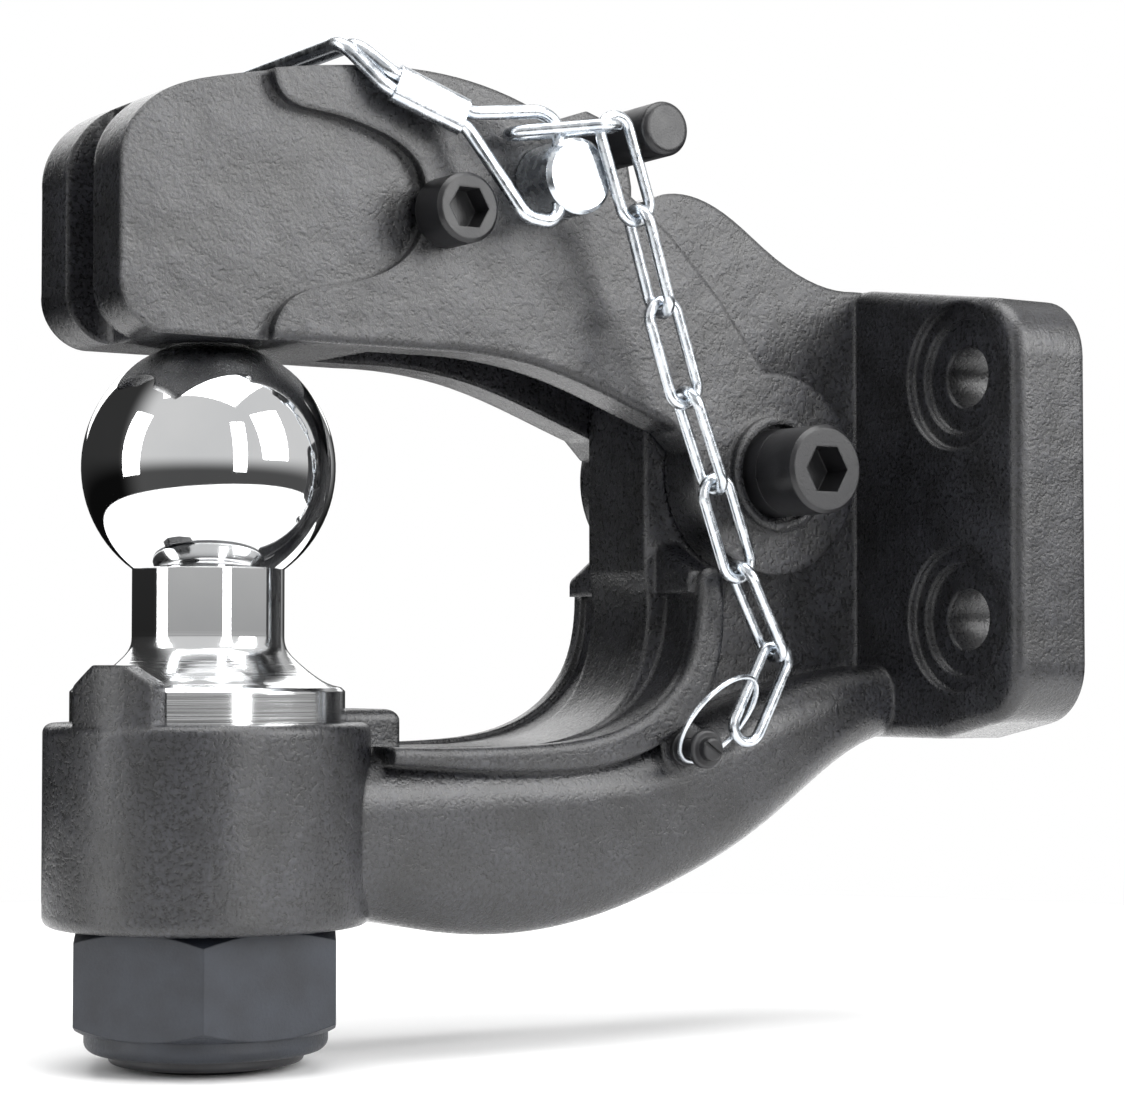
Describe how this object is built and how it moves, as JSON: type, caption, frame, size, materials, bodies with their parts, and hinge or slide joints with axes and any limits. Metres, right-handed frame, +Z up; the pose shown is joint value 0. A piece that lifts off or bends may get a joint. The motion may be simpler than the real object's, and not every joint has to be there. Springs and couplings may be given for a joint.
{
  "type": "trailer hitch with ball",
  "caption": "Forged hook with a ball on a threaded post, a hinged latch closing over it, a lock lever, a chained safety pin and a bolt-on plate.",
  "frame": {"origin": "centre of the mounting plate's flat back face", "axes": "+X toward the towing vehicle, +Z up, -Y the side with the screw heads"},
  "size_m": [0.2086, 0.131, 0.2053],
  "materials": {
    "black_forging": "black satin coating over a rough forging",
    "black_steel": "black oxide, satin",
    "spring_steel": "oiled",
    "zinc": "bright zinc plate",
    "chrome": "polished",
    "dark_nut": "dark blue-grey phosphate",
    "nylon": "dark nylon"
  },
  "bodies": {
    "hook": {"hook_body": "black_forging", "hitch_ball": "chrome", "ball_nut": "dark_nut", "nut_insert": "nylon", "chain_anchor": "black_steel", "anchor_washer": "black_steel", "chain_link_1": "zinc", "chain_link_2": "zinc", "chain_link_3": "zinc", "chain_link_4": "zinc", "chain_link_5": "zinc", "chain_link_6": "zinc", "chain_link_7": "zinc", "chain_ring": "zinc"},
    "latch": {"latch": "black_forging", "pivot_bushing": "black_steel", "pivot_screw": "black_steel", "pivot_washer": "black_steel", "pivot_nut": "black_steel", "lever_screw": "black_steel", "lever_washer": "black_steel", "lever_nut": "black_steel", "lever_spring": "spring_steel", "safety_pin": "zinc", "chain_link_0": "zinc"},
    "lever": {"lock_lever": "black_forging", "lever_handle": "black_steel"},
    "bail": {"snapper_wire": "zinc", "wire_ferrule": "zinc"}
  },
  "joints": [
    {"name": "latch_open", "type": "hinge", "parent": "hook", "child": "latch", "pos_m": [-0.05, 0, 0.0053], "axis": [0, 1, 0], "range_deg": [0, 60], "deforming": ["chain_link_1", "chain_link_2", "chain_link_3", "chain_link_4", "chain_link_5", "chain_link_6", "chain_link_7", "chain_ring"]},
    {"name": "lever_lift", "type": "hinge", "parent": "latch", "child": "lever", "pos_m": [-0.134, 0, 0.0552], "axis": [0, -1, 0], "range_deg": [0, 31]},
    {"name": "bail_swing", "type": "hinge", "parent": "latch", "child": "bail", "pos_m": [-0.1132, -0.0323, 0.0634], "axis": [0, 0, 1], "range_deg": [0, 4]}
  ],
  "couplings": [
    {"joint": "lever_lift", "follows": "latch_open", "ratio": 0.5}
  ]
}
